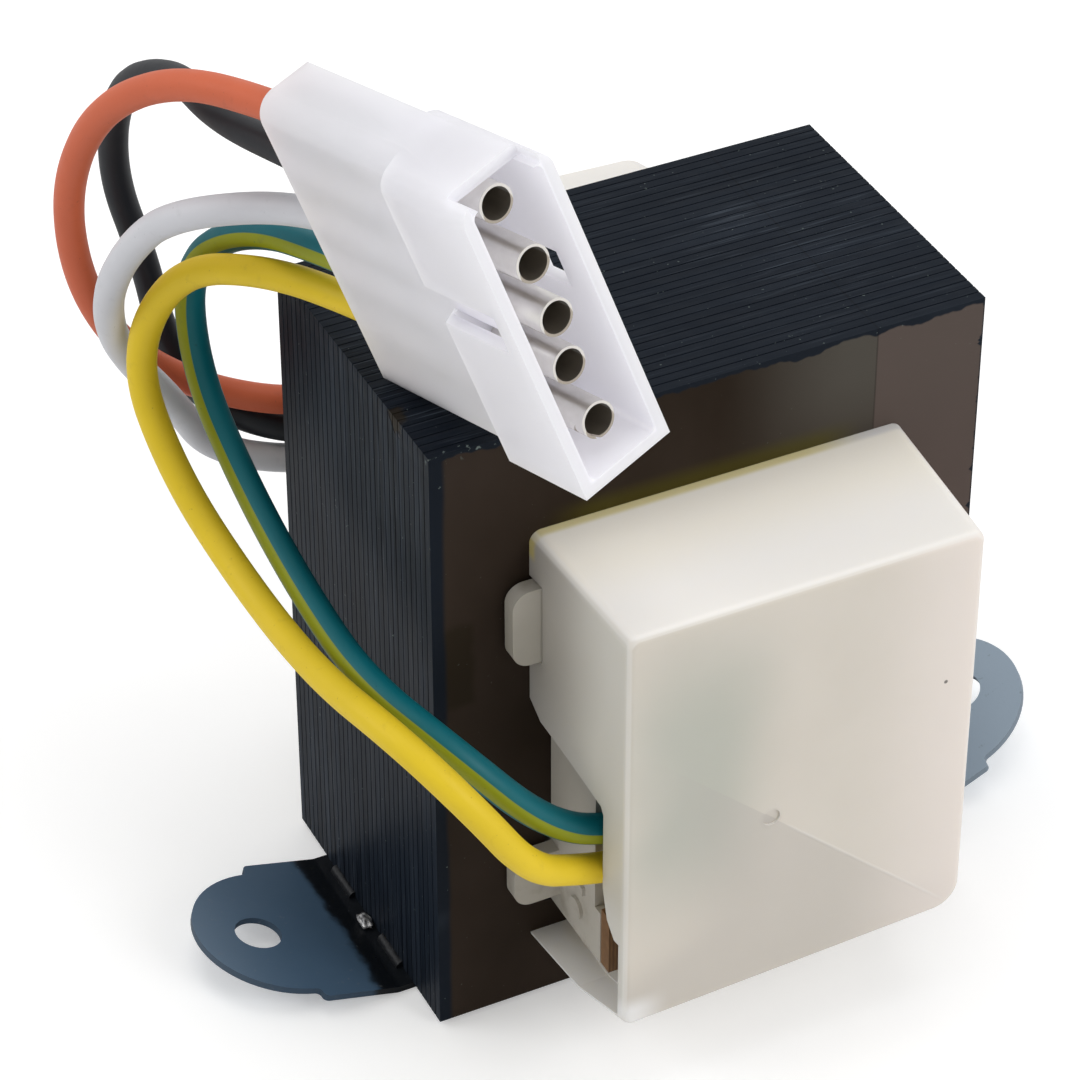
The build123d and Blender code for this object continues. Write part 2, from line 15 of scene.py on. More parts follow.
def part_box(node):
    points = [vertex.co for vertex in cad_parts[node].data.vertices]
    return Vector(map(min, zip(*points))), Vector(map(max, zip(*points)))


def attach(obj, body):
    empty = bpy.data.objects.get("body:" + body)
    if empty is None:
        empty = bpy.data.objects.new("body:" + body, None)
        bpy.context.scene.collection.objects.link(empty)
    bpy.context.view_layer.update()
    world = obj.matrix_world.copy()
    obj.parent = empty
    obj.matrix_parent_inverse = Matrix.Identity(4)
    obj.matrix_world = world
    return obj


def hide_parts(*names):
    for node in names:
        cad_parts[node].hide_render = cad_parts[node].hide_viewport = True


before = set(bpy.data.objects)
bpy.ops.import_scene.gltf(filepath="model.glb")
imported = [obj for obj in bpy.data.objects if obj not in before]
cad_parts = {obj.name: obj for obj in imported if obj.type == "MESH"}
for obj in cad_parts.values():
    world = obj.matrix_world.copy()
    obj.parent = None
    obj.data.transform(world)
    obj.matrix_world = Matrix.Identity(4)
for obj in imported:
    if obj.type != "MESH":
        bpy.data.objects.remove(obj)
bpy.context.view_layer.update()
MM = 0.001
print("solids loaded:", len(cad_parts))

# %% [markdown]
# ## Camera
#
# The photograph was taken with a long lens, from the left, above the front cover. A long lens
# keeps upright edges almost parallel, which is why the core looks so square. The camera could
# be aimed at a point, but three angles and a place also hold its slight roll.

# %% Camera
AZIMUTH, ELEVATION, ROLL = -26.1439, 37.5973, -0.0973
STANDS_AT = (-0.1347, -0.2578, 0.2580)
FOCAL_LENGTH = 143.13
turn = (
    Matrix.Rotation(math.radians(AZIMUTH), 4, "Z")
    @ Matrix.Rotation(math.radians(90 - ELEVATION), 4, "X")
    @ Matrix.Rotation(math.radians(ROLL), 4, "Z")
)
lens = bpy.data.cameras.new("long_lens")
lens.sensor_width = 36
lens.lens = FOCAL_LENGTH
lens.clip_start = 0.01
camera = bpy.data.objects.new("long_lens", lens)
camera.matrix_world = Matrix.Translation(STANDS_AT) @ turn
bpy.context.scene.collection.objects.link(camera)
bpy.context.scene.camera = camera
print("camera at", tuple(round(value, 3) for value in camera.location))

# %% [markdown]
# ## Writing a finish as sums
#
# A finish is a small graph of nodes. Graphs are quick to read when they are written as sums, so
# one class wraps a socket and lets `+`, `-`, `*`, `/`, `<` and `>` add the Math nodes. Anything
# that is not arithmetic comes from one method of the next class, `node`.

# %% A socket that can be added, scaled and compared
class Signal:
    """A number or colour that varies over a surface."""

    def __init__(self, finish, socket):
        self.finish = finish
        self.socket = socket

    def maths(self, operation, first, second=0.0):
        return self.finish.node("Math", {0: first, 1: second}, operation=operation)

    def __add__(self, other):
        return self.maths("ADD", self, other)

    __radd__ = __add__

    def __sub__(self, other):
        return self.maths("SUBTRACT", self, other)

    def __rsub__(self, other):
        return self.maths("SUBTRACT", other, self)

    def __mul__(self, other):
        return self.maths("MULTIPLY", self, other)

    __rmul__ = __mul__

    def __truediv__(self, other):
        return self.maths("DIVIDE", self, other)

    def __rtruediv__(self, other):
        return self.maths("DIVIDE", other, self)

    def __lt__(self, other):
        return self.maths("LESS_THAN", self, other)

    def __gt__(self, other):
        return self.maths("GREATER_THAN", self, other)

    def size(self):
        return self.maths("ABSOLUTE", self)

    def ramp(self, low, high):
        """0 below low, 1 above high, smooth between them."""
        return self.finish.node(
            "MapRange", {0: self, 1: low, 2: high}, interpolation_type="SMOOTHSTEP"
        )


print("a signal can be added, scaled and compared")

# %% [markdown]
# ## One class for every finish
#
# Varnish, nylon, tin and jacket differ in what feeds the Principled shader, not in how they are
# wired. So one class makes the material, and gives the patterns that all of them use: position,
# the side a point faces, noise, and the nearness to a spot.


# %% A finish
class Finish:
    """One material: a Principled shader and what feeds it."""

    def __init__(self, name, **fixed):
        self.material = bpy.data.materials.new(name)
        self.material.use_nodes = True
        self.tree = self.material.node_tree
        self.shader = self.tree.nodes["Principled BSDF"]
        self.place = self.node("TexCoord", out="Object")
        self.around = self.node("TexCoord", out="UV")
        for key, value in fixed.items():
            socket = key.replace("_", " ").title().replace("Ior", "IOR")
            self.shader.inputs[socket].default_value = value

    def node(self, kind, sockets=None, out=0, stops=None, **settings):
        made = self.tree.nodes.new("ShaderNode" + kind)
        for key, value in settings.items():
            setattr(made, key, value)
        if stops:
            ramp = made.color_ramp.elements
            while len(ramp) < len(stops):
                ramp.new(1.0)
            for element, (position, colour) in zip(ramp, stops):
                element.position = position
                element.color = (*colour, 1)
        for key, value in (sockets or {}).items():
            if isinstance(value, Signal):
                self.tree.links.new(value.socket, made.inputs[key])
            else:
                made.inputs[key].default_value = value
        return Signal(self, made.outputs[out])

    def feed(self, socket, signal):
        self.tree.links.new(signal.socket, self.shader.inputs[socket])

    def axis(self, letter, vector=None):
        return self.node("SeparateXYZ", {0: vector or self.place}, out="XYZ".index(letter))

    def facing(self, letter):
        return self.axis(letter, self.node("NewGeometry", out="Normal"))

    def along(self, direction, start=(0, 0, 0)):
        """Distance in millimetres from a start point along a direction."""
        origin = tuple(Vector(start) * MM)
        offset = self.node("VectorMath", {0: self.place, 1: origin}, operation="SUBTRACT")
        return self.dot(offset, direction) / MM

    def dot(self, first, second):
        return self.node("VectorMath", {0: first, 1: second}, out=1, operation="DOT_PRODUCT")

    def near(self, centre, radius, soft=0.5, warp=0.0):
        """1 close to a point, 0 beyond a radius, both in millimetres."""
        spot = tuple(Vector(centre) * MM)
        distance = self.node("VectorMath", {0: self.place, 1: spot}, out=1, operation="DISTANCE")
        ragged = distance / MM
        if warp:
            ragged = ragged + (self.noise(700, 2) - 0.5) * warp
        return 1 - ragged.ramp(radius * (1 - soft), radius)

    def noise(self, scale, detail=3.0, stretch=(1, 1, 1), roughness=0.55, vector=None):
        spread = self.node("Mapping", {"Vector": vector or self.place, "Scale": stretch})
        settings = {"Vector": spread, "Scale": scale, "Detail": detail, "Roughness": roughness}
        return self.node("TexNoise", settings)

    def mix(self, amount, first, second):
        colours = [c if isinstance(c, Signal) else (*c, 1) for c in (first, second)]
        pair = {0: amount, 6: colours[0], 7: colours[1]}
        return self.node("Mix", pair, out=2, data_type="RGBA")

    def bump(self, height, distance, strength=1.0):
        relief = {"Height": height, "Distance": distance, "Strength": strength}
        self.feed("Normal", self.node("Bump", relief))


print("finishes are made by", Finish.__name__)

# %% [markdown]
# ## Putting a finish on
#
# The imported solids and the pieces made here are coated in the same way: the slots are emptied
# first, so that no plain colour from the pack is left under the finish.


# %% Coat pieces
def coat(finish, *names):
    """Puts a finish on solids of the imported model, or on new pieces."""
    for name in names:
        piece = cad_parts[name] if isinstance(name, str) else name
        piece.data.materials.clear()
        piece.data.materials.append(finish.material)
    print(finish.material.name, "on", len(names))


print("pieces to coat:", len(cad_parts))

# %% [markdown]
# ## Leads
#
# Each lead is stranded wire in a soft jacket, 2.6 mm thick. It leaves its solder joint inside a
# cover, goes round the side of the core and up into the back of the connector. A NURBS curve
# with a round bevel is the right tool: its control points pull the line like fingers bending a
# wire, so no corner shows.

# %% Routes, in millimetres, from solder joint to crimp
WIRE = 2.6
ROUTES = {
    "orange_wire": [
        (-5.3, 26.9, 45.8), (-8.4, 26.9, 42.22), (-13.4, 24.9, 39.0), (-19.4, 24.7, 38.6),
        (-27.6, 28.0, 40.9), (-34.2, 28.7, 47.0), (-37.8, 27.9, 55.7), (-38.7, 26.3, 65.9),
        (-37.0, 21.7, 75.3), (-33.4, 13.9, 81.5), (-29.52, 4.03, 83.8), (-27.8, -4.62, 85.58),
    ],
    "black_wire": [
        (2.9, 26.9, 45.5), (0.1, 26.9, 40.9), (-5.2, 26.2, 36.8), (-12.2, 24.65, 35.3),
        (-19.4, 24.7, 35.4), (-26.3, 29.4, 37.7), (-28.9, 32.2, 44.0), (-29.6, 33.6, 51.5),
        (-31.9, 34.3, 61.1), (-31.6, 31.2, 71.3), (-29.8, 22.6, 76.5), (-30.0, 13.0, 77.4),
        (-27.93, 3.37, 79.03), (-26.2, -5.28, 80.8),
    ],
    "white_wire": [
        (10.8, 26.9, 45.5), (7.8, 26.9, 41.0), (3.4, 26.9, 36.9), (-4.2, 26.0, 33.2),
        (-12.2, 24.65, 32.3), (-19.4, 24.7, 32.4), (-27.4, 26.4, 35.2), (-31.2, 24.5, 42.9),
        (-36.1, 24.0, 50.2), (-38.1, 20.2, 58.1), (-37.4, 15.9, 65.4), (-35.3, 10.3, 71.7),
        (-26.34, 2.71, 74.25), (-24.61, -5.94, 76.02),
    ],
    "green_yellow_wire": [
        (2.9, -26.9, 15.7), (-0.4, -26.9, 21.1), (-6.0, -25.9, 24.6), (-12.2, -24.65, 25.6),
        (-19.1, -24.1, 27.7), (-26.55, -21.0, 36.7), (-29.6, -11.5, 37.7), (-29.6, 0.6, 38.3),
        (-29.7, 12.1, 41.45), (-30.7, 19.95, 48.95), (-30.7, 20.4, 59.9), (-27.7, 13.1, 66.5),
        (-24.75, 2.05, 69.47), (-23.01, -6.6, 71.24),
    ],
    "yellow_wire": [
        (-5.3, -26.9, 15.4), (-8.4, -26.9, 18.98), (-12.6, -24.9, 22.0), (-17.0, -25.0, 23.2),
        (-22.1, -26.65, 26.45), (-26.8, -26.35, 34.3), (-30.8, -20.8, 39.0), (-32.65, -9.45, 37.8),
        (-33.1, 3.7, 37.4), (-35.3, 13.95, 43.2), (-36.4, 19.7, 52.1), (-33.0, 16.9, 61.6),
        (-28.3, 8.6, 65.2), (-23.16, 1.39, 64.7), (-21.42, -7.26, 66.47),
    ],
}
print("leads:", ", ".join(ROUTES))

# %% [markdown]
# ## From points to jackets
#
# Each curve gets a round bevel as thick as the jacket. The thickness is set on the points, and
# the bevel's own depth is one, because the size of a curve is measured with its points' radius.


# %% Lay the leads
def lay_lead(name, points):
    """A round jacket on a smooth curve through the pull of its route points."""
    line = bpy.data.curves.new(name + "_jacket", "CURVE")
    line.dimensions = "3D"
    line.bevel_depth = 1.0
    line.bevel_resolution = 7
    line.resolution_u = 14
    line.use_fill_caps = True
    spline = line.splines.new("NURBS")
    spline.points.add(len(points) - 1)
    for knot, place in zip(spline.points, points):
        knot.co = (*(Vector(place) * MM), 1)
        knot.radius = WIRE / 2 * MM
    spline.order_u = 3
    spline.use_endpoint_u = True
    jacket = bpy.data.objects.new(name + "_jacket", line)
    bpy.context.scene.collection.objects.link(jacket)
    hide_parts(name)
    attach(jacket, "root")
    return jacket


leads = {name: lay_lead(name, points) for name, points in ROUTES.items()}
print("leads laid:", len(leads))

# %% [markdown]
# ## Wire jackets
#
# Hook-up wire has a soft satin skin: colour almost even, a broad highlight, tiny ripples from
# the extruder and a little grime. The earth lead's yellow stripe runs along its whole length,
# so its mask is read from the position round the jacket that the curve gives as its UV. A
# second thin curve would stand proud of the skin, and a mask lies in it.

# %% Where the stripe runs round the jacket
STRIPE_AT, STRIPE_HALF = 0.88, 0.075
print("stripe covers", round(2 * STRIPE_HALF, 2), "of the way round")


# %% Jacket finishes
def jacket_finish(name, colour, dirt, roughness=0.42, stripe=None):
    finish = Finish(name, specular_ior_level=0.28)
    cloud = finish.noise(160, 2).ramp(0.35, 0.75)
    shade = finish.mix(cloud * 0.30, colour, tuple(c * 0.84 for c in colour))
    if stripe:
        round_it = finish.axis("Y", finish.around)
        band = 1 - (round_it - STRIPE_AT).size().ramp(STRIPE_HALF, STRIPE_HALF + 0.012)
        shade = finish.mix(band, shade, stripe)
    grime = finish.noise(900, 3).ramp(0.58, 0.85)
    specks = finish.noise(2400, 2).ramp(0.72, 0.76)
    finish.feed("Base Color", finish.mix(grime * 0.25 + specks * 0.5, shade, dirt))
    finish.feed("Roughness", roughness + finish.noise(600) * 0.16)
    finish.bump(finish.noise(500, 2) + finish.noise(3500, 2) * 0.3, 0.03 * MM, 0.6)
    return finish


print("jacket finish ready")

# %% [markdown]
# ## Five colours of jacket
#
# The colours are the real ones in even light. Each also names its own dirt, a darker and duller
# shade of itself, because grime on a bright jacket is never plain grey.

# %% Coat the leads
jackets = {
    "orange_wire": jacket_finish("orange_jacket", (0.62, 0.135, 0.060), (0.36, 0.09, 0.05)),
    "black_wire": jacket_finish("black_jacket", (0.010, 0.012, 0.016), (0.03, 0.03, 0.035)),
    "white_wire": jacket_finish("white_jacket", (0.66, 0.665, 0.70), (0.40, 0.40, 0.42)),
    "green_yellow_wire": jacket_finish(
        "earth_jacket", (0.0003, 0.125, 0.155), (0.002, 0.055, 0.065), stripe=(0.27, 0.30, 0.008)
    ),
    "yellow_wire": jacket_finish("yellow_jacket", (0.80, 0.575, 0.022), (0.40, 0.25, 0.03)),
}
for name, finish in jackets.items():
    coat(finish, leads[name])

# %% [markdown]
# ## Core
#
# The core was dipped in black varnish. It lies thick on the ribbed sides and the top, and runs
# thin over the smooth front, where the steel shows through as a warm grey-brown. A wavy black
# edge runs along its top and drips stand at its right. One finish serves both stacks, because
# it reads the position and the side that a point faces.

# %% Varnish on the laminations
left_side, _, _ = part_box("e_laminations")[0]
_, face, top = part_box("e_laminations")[1]
right_side, _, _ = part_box("i_laminations")[1]
varnish = Finish("core_varnish", specular_ior_level=0.045)
x, y, z = (varnish.axis(letter) for letter in "XYZ")
smooth_face = varnish.facing("Y").size() > 0.7
run = varnish.noise(1, 3, vector=varnish.node("CombineXYZ", {0: x * 190, 1: 0.0, 2: 0.0}))
edge_line = top - 0.0001 - run.ramp(0.30, 0.75) * 0.0010
side_line = left_side + 0.0006 + varnish.noise(60, 2, stretch=(0, 0, 1)) * 0.0010
drips = varnish.noise(1, 4, vector=varnish.node("CombineXYZ", {0: 0.0, 1: 0.0, 2: z * 420}))
right_line = right_side - 0.0001 - drips.ramp(0.50, 0.72) * 0.0009
thin = (edge_line - z).ramp(-0.0001, 0.0001) * (x - side_line).ramp(-0.0002, 0.0003)
thin = thin * (right_line - x).ramp(-0.0001, 0.0001)
bare = smooth_face * thin
print("bare steel below", round(top / MM, 1), "mm and left of", round(right_side / MM, 1), "mm")

# %% [markdown]
# ## Steel through thin varnish
#
# Where the varnish is thin, the steel's colour wanders like smoke, and it is even and paler on the
# I stack. A painted sheen makes the E stack paler, hazy and greenish high up beside the seam, so
# it is darkest low down. A painted reflection of the tape's yellow lies just above the cover, and
# one darker olive patch lies near the left edge. Plain noise would put these anywhere, so each is
# a mask of its own at the place where it is on the real core.

# %% Steel tones
SEAM = 15.0 * MM
smoke = varnish.noise(38, 4, stretch=(1, 1, 0.55))
steel = varnish.node(
    "ValToRGB",
    {0: smoke},
    stops=[
        (0.30, (0.0190, 0.0125, 0.0080)),
        (0.55, (0.0370, 0.0265, 0.0200)),
        (0.80, (0.0600, 0.0460, 0.0380)),
    ],
)
i_side = x.ramp(SEAM - 0.1 * MM, SEAM + 0.1 * MM)
# painted sheen: paler, greyer steel high up towards the seam
painted_high_sheen = x.ramp(0.000, 0.013) * z.ramp(0.042, 0.058)
steel = varnish.mix(painted_high_sheen * 0.8 * (0.7 + smoke * 0.5), steel, (0.088, 0.082, 0.070))
steel = varnish.mix(i_side * (0.65 + smoke * 0.4), steel, (0.098, 0.075, 0.066))
# painted reflection of the tape's yellow just above the cover
glow = (z - 0.0508).size().ramp(0.0020, 0.0002) * (x + 0.0005).size().ramp(0.0150, 0.0100)
steel = varnish.mix(glow * (0.3 + smoke * 0.5), steel, (0.080, 0.068, 0.006))
patch_x = ((x + 0.0230).size() + varnish.noise(400, 2) * 0.0008).ramp(0.0024, 0.0016)
patch_z = ((z - 0.0391).size() + varnish.noise(300, 2) * 0.0010).ramp(0.0052, 0.0040)
steel = varnish.mix(patch_x * patch_z * 0.45, steel, (0.012, 0.009, 0.002))
print("steel tones come from", steel.socket.node.name)

# %% [markdown]
# ## Streaks of the sheets
#
# The sheets show as streaks that are long along a sheet and a fraction of a millimetre wide across
# the stack. Three noises, each stretched 25 to 50 times along the sheets, give broad bands, single
# sheets and fine pale lines, and one stretch does for the sides and the top. The pale blue of the
# bands and sheets is a painted sheen, laid stronger on the ribbed sides than on the top.

# %% Streaks and the seam
sheets = varnish.noise(1100, 2, stretch=(0.02, 1, 0.02))
fine_pale_lines = varnish.noise(4200, 2, stretch=(0.03, 1, 0.03)).ramp(0.56, 0.74)
bands = varnish.noise(210, 2, stretch=(0.04, 1, 0.04))
fog = varnish.noise(45, 2, stretch=(1, 1, 0.5)).ramp(0.35, 0.7)
ends_on = varnish.facing("X").size()
# painted sheen of the surroundings, stronger on faces that look along X
sheen = (sheets.ramp(0.40, 0.75) * 0.6 + bands.ramp(0.35, 0.7) * 0.4) * (0.30 + fog * 0.70)
rib = varnish.mix(sheen * (0.22 + ends_on * 0.60), (0.0060, 0.0090, 0.0145), (0.056, 0.072, 0.098))
rib = varnish.mix(fine_pale_lines * (0.15 + fog * 0.45), rib, (0.075, 0.092, 0.115))
skin = varnish.mix(bare, rib, steel)
seam = (x - SEAM).size() < 0.08 * MM
skin = varnish.mix(seam * 0.35, skin, (0.004, 0.004, 0.005))
print("seam at", round(SEAM / MM, 1), "mm")

# %% [markdown]
# ## Chips and flecks
#
# The varnish has chipped along the top edge near the front left corner, and one brown chip lies
# on the left edge. Pale flecks of dust were caught in the dip all over. They are thinner than
# a hair, so masks in the colour and the bump do, and no solid has to be cut.

# %% Chips, flecks and relief
corner_chips = (
    varnish.noise(1500, 3).ramp(0.60, 0.66)
    * (z - top).size().ramp(0.0011, 0.0003)
    * (x + 0.0165).ramp(0.0025, -0.0040)
    * (y + face).size().ramp(0.0009, 0.0003)
)
chip = varnish.near((-25.0, -8.2, 60.3), 1.3, 0.4, warp=2.2)
fleck = (varnish.noise(2300, 2) > 0.745) * (1 - bare * 0.6)
skin = varnish.mix(fleck * 0.35 + corner_chips * 0.6, skin, (0.22, 0.27, 0.25))
skin = varnish.mix(chip * 0.8, skin, (0.022, 0.016, 0.009))
varnish.feed("Base Color", skin)
varnish.feed("Roughness", 0.34 + sheets * 0.16 + bare * 0.16)
varnish.feed("Metallic", bare * 0.10)
lumps = varnish.noise(330, 1) * (z - top).size().ramp(0.0022, 0.0004)
orange_peel = varnish.noise(420, 2) * 0.4
varnish.bump(sheets * (1 - bare) * 0.5 + orange_peel + lumps * 2.0 - chip * 1.5, 0.1 * MM, 0.55)
coat(varnish, "e_laminations", "i_laminations")

# %% [markdown]
# ## Mounting strip
#
# The strip is thin steel with the same dip, but it dried more evenly: slate blue with a soft
# sheen, and darker on its cut edges. Beside the core it is black, partly from varnish lying thick
# in the corner and partly as painted shade and reflection of the black core. The feet are painted
# paler further from the core as a sheen, and the right foot gets a painted highlight where it
# catches the light. The dip ran off from the core outward, so the distance from the middle is the
# measure for the black corner and for the painted sheen.

# %% Strip
strip = Finish("strip_varnish", specular_ior_level=0.2)
sx = strip.axis("X").size()
# black beside the core: varnish pooled at the joint, with painted shade and reflection of the core
near_core = 1 - (sx + strip.noise(420, 3) * 0.0016).ramp(0.0282, 0.0296)
slate = strip.mix(strip.noise(70, 3), (0.045, 0.090, 0.150), (0.072, 0.125, 0.195))
# painted sheen on the feet, and a painted highlight on the right foot
painted_foot_sheen = (sx.ramp(0.031, 0.044) * 0.30 + (strip.axis("X") > 0) * 0.9).ramp(0, 1)
slate = strip.mix(painted_foot_sheen * 0.8, slate, (0.470, 0.570, 0.670))
edge = 1 - strip.facing("Z").size().ramp(0.30, 0.60)
dark = strip.mix((near_core + edge * 0.5).ramp(0, 1), slate, (0.006, 0.0075, 0.010))
scuff = strip.noise(1500, 3).ramp(0.66, 0.74) + strip.noise(300, 4).ramp(0.72, 0.78)
strip.feed("Base Color", strip.mix(scuff * 0.30, dark, (0.16, 0.18, 0.20)))
strip.feed("Roughness", 0.44 + strip.noise(400) * 0.2 - near_core * 0.22)
strip.bump(strip.noise(500, 4) + near_core * strip.noise(900, 3) * 2.0, 0.05 * MM, 0.6)
coat(strip, "base_plate")

# %% [markdown]
# ## Weld beads
#
# The beads that join the strip to the core are under the dip, so they are as black as the core
# and only their lumps catch the light. The solids give their swell, and a bump adds what is
# finer than a solid needs to hold.

# %% Weld beads
weld = Finish("weld_bead", specular_ior_level=0.25)
burnt = weld.noise(900).ramp(0.5, 0.9)
weld.feed("Base Color", weld.mix(burnt, (0.004, 0.005, 0.007), (0.016, 0.018, 0.022)))
weld.feed("Roughness", 0.22 + weld.noise(1200) * 0.3)
weld.bump(weld.noise(1100, 3), 0.15 * MM)
coat(weld, "plate_welds")

# %% [markdown]
# ## One spatter of bare metal
#
# A drop of weld metal stuck to the corner beside the left foot and shed its varnish. It is a
# sphere pulled long and dented by two waves, which is how a drop looks that froze in flight.
# A sculpted drop would look as good, and this one is the same each time.

# %% Spatter beside the left foot
SPATTER_AT = (-0.0257, -0.0006, 0.0010)
SPATTER_HALVES = (0.55, 0.95, 0.45)
bead = bmesh.new()
bmesh.ops.create_icosphere(bead, subdivisions=4, radius=1.0)
for vertex in bead.verts:
    direction = vertex.co.normalized()
    dents = 0.16 * math.sin(5 * direction.x + 2) * math.cos(4 * direction.y)
    swell = 1 + dents + 0.10 * math.sin(9 * direction.z)
    vertex.co = Matrix.Diagonal(SPATTER_HALVES) @ direction * swell * MM
    vertex.co += Vector(SPATTER_AT)
bead_mesh = bpy.data.meshes.new("weld_spatter")
bead.to_mesh(bead_mesh)
bead.free()
bead_mesh.polygons.foreach_set("use_smooth", [True] * len(bead_mesh.polygons))
spatter = bpy.data.objects.new("weld_spatter", bead_mesh)
bpy.context.scene.collection.objects.link(spatter)
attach(spatter, "root")
bare_weld = Finish("bare_weld", metallic=0.5)
bright = bare_weld.noise(1500, 3).ramp(0.35, 0.65)
bare_weld.feed("Base Color", bare_weld.mix(bright, (0.03, 0.03, 0.035), (0.55, 0.55, 0.55)))
bare_weld.feed("Roughness", 0.3 + bare_weld.noise(1200) * 0.3)
coat(bare_weld, spatter)

# %% [markdown]
# ## Covers
#
# Both covers are natural nylon, about a millimetre thick. Light goes into it, so its edges glow,
# the yellow tape below tints its back edge, and the leads behind the front wall show as a faint
# green cloud. Subsurface scattering gives the softness, and the tints are painted where the things
# behind them are. The edge glow is a painted highlight, and the front has painted shade low down
# and below its crease and painted light at its right. The same masks serve both covers, so
# positions are taken from the middle of the core outward.

# %% Cover nylon: what shows through the wall, painted shade and light
CORE_MIDDLE = 30.6 * MM
cover = Finish(
    "cover_nylon",
    subsurface_weight=0.25,
    subsurface_scale=0.003,
    subsurface_radius=(1.0, 0.9, 0.75),
    specular_ior_level=0.3,
)
cx = cover.axis("X")
cz = cover.axis("Z") - CORE_MIDDLE
cy = cover.axis("Y")
turned = (cy > 0) * 2 - 1
high = cz * turned * -1
out_y = cy.size() - face
milk = cover.mix(cover.noise(70, 3), (0.630, 0.580, 0.505), (0.720, 0.665, 0.590))
drift = (cover.noise(60, 2) - 0.5) * 0.006
cloud_wide = (cx + 0.0090 + drift).size().ramp(0.0095, 0.0010)
cloud_high = (high - 0.003 + drift).size().ramp(0.0190, 0.0040)
milk = cover.mix(cloud_wide * cloud_high * 0.75, milk, (0.440, 0.460, 0.400))
crease = (high + 0.0039) + (cx + 0.0018) * 0.929
# painted shade: darker below the crease, where the wall tilts down, and low on the front
under_crease = crease.ramp(0.0001, -0.0001) * (cx + 0.0018).ramp(-0.0150, 0.0010)
painted_low_shade = under_crease + (high + 0.0150).ramp(0.002, -0.006)
milk = cover.mix(painted_low_shade.ramp(0, 1) * 0.45, milk, (0.47, 0.44, 0.405))
# painted light: the right of the front is paler
painted_light_right = cx.ramp(0.004, 0.018)
milk = cover.mix(painted_light_right * 0.75, milk, (0.880, 0.785, 0.725))
print("cover: cloud and crease placed")

# %% [markdown]
# ## The cover's top, side and edges
#
# The top is painted paler as the most lit face, with a warm band where the tape lies under it, and
# the side is painted darker as shade. Edges get a painted highlight, paler than faces, as light
# leaves the nylon there, and the back rim of the top is yellow from the tape, but whitish at its
# right end. The inside of the bottom lip lies in shade and is painted light. An edge is found as
# the place that faces no axis squarely, so it needs no seam or vertex group.

# %% Cover nylon: top, side and edges
upward = cover.facing("Z").size().ramp(0.6, 0.9)
sideways = (cover.facing("X") * -1).ramp(0.6, 0.9)
warm = (out_y - 0.0035 + drift * 0.5).size().ramp(0.0075, 0.0010)
# painted light: the top paler than the front
roof = cover.mix(warm * 0.4, (0.900, 0.860, 0.805), (0.900, 0.810, 0.630))
cover_tint = cover.mix(upward, milk, roof)
# painted shade on the side
shade = cover.mix(
    (out_y + drift * 0.5).ramp(0.002, 0.013) + high.ramp(0.012, 0.000) * 0.2,
    (0.400, 0.375, 0.340),
    (0.640, 0.620, 0.565),
)
cover_tint = cover.mix(sideways, cover_tint, shade)
rim_back = (out_y - 0.0002).size().ramp(0.0009, 0.0003)
rim = rim_back * (high - 0.0192).size().ramp(0.0020, 0.0010)
yellowed = cover.mix(cx.ramp(0.008, 0.015), (0.62, 0.50, 0.10), (0.60, 0.59, 0.60))
cover_tint = cover.mix(rim * 0.65, cover_tint, yellowed)
# painted light inside the bottom lip, which lies in shade
lip_high = (high + 0.0225).size().ramp(0.0040, 0.0020)
lip = lip_high * (cx + 0.0165).size().ramp(0.0060, 0.0020)
cover_tint = cover.mix(lip * 0.8, cover_tint, (0.88, 0.87, 0.86))
# painted highlight on the edges
flat = sum(cover.facing(letter).size().ramp(0.80, 0.97) for letter in "XYZ")
painted_edge_highlight = 1 - flat.ramp(0, 1)
cover_tint = cover.mix(painted_edge_highlight * 0.40, cover_tint, (0.86, 0.84, 0.80))
print("cover: faces and edges tinted")

# %% [markdown]
# ## Marks and a crease highlight on the cover
#
# The gate where the nylon entered the mould left a small dull ring, a painted highlight runs from
# it along the crease, where the fold catches the light, and two dark specks were moulded in. Masks
# at a distance from a point or a line make them, because a picture of them would have to be laid
# on by hand.

# %% Cover nylon: marks and surface
front_out = out_y > 0.0149
gates = ((-1.8, -29.7, 26.7), (-1.8, 29.7, 34.5))
gate = sum(cover.near(spot, 1.3, 0.6, warp=1.5) for spot in gates)
cover_tint = cover.mix(gate * 0.12, cover_tint, (0.30, 0.27, 0.28))
speck = cover.near((14.1, -29.7, 35.2), 0.22, 0.4)
speck = speck + cover.near((14.6, -29.3, 49.0), 0.3, 0.5, warp=0.6)
cover_tint = cover.mix(speck * 0.8, cover_tint, (0.05, 0.045, 0.04))
line_ends = cx.ramp(-0.0010, 0.0010) * cx.ramp(0.0160, 0.0140)
# painted highlight along the crease, also raised a little in the bump
crease_highlight_and_ridge = crease.size().ramp(0.00030, 0.00004) * line_ends * front_out
cover_tint = cover.mix(crease_highlight_and_ridge * 0.30, cover_tint, (0.80, 0.77, 0.73))
cover.feed("Base Color", cover_tint)
cover.feed("Roughness", 0.40 + cover.noise(500) * 0.14)
cover.bump(cover.noise(260, 2) + cover.noise(45, 1) * 3.0 + crease_highlight_and_ridge * 1.2, 0.05 * MM, 0.5)
coat(cover, "front_cover", "rear_cover")

# %% [markdown]
# ## Bobbin
#
# The bobbin is the same nylon as the covers, but it lies in the shade between core and covers, so
# its colour is painted greyer and darker as shade, and varnish has crept onto its lower and upper
# ends. It gets no subsurface scattering, which would hardly show in that shade and takes long to
# render.

# %% Bobbin nylon
spool = Finish("bobbin_nylon", specular_ior_level=0.35)
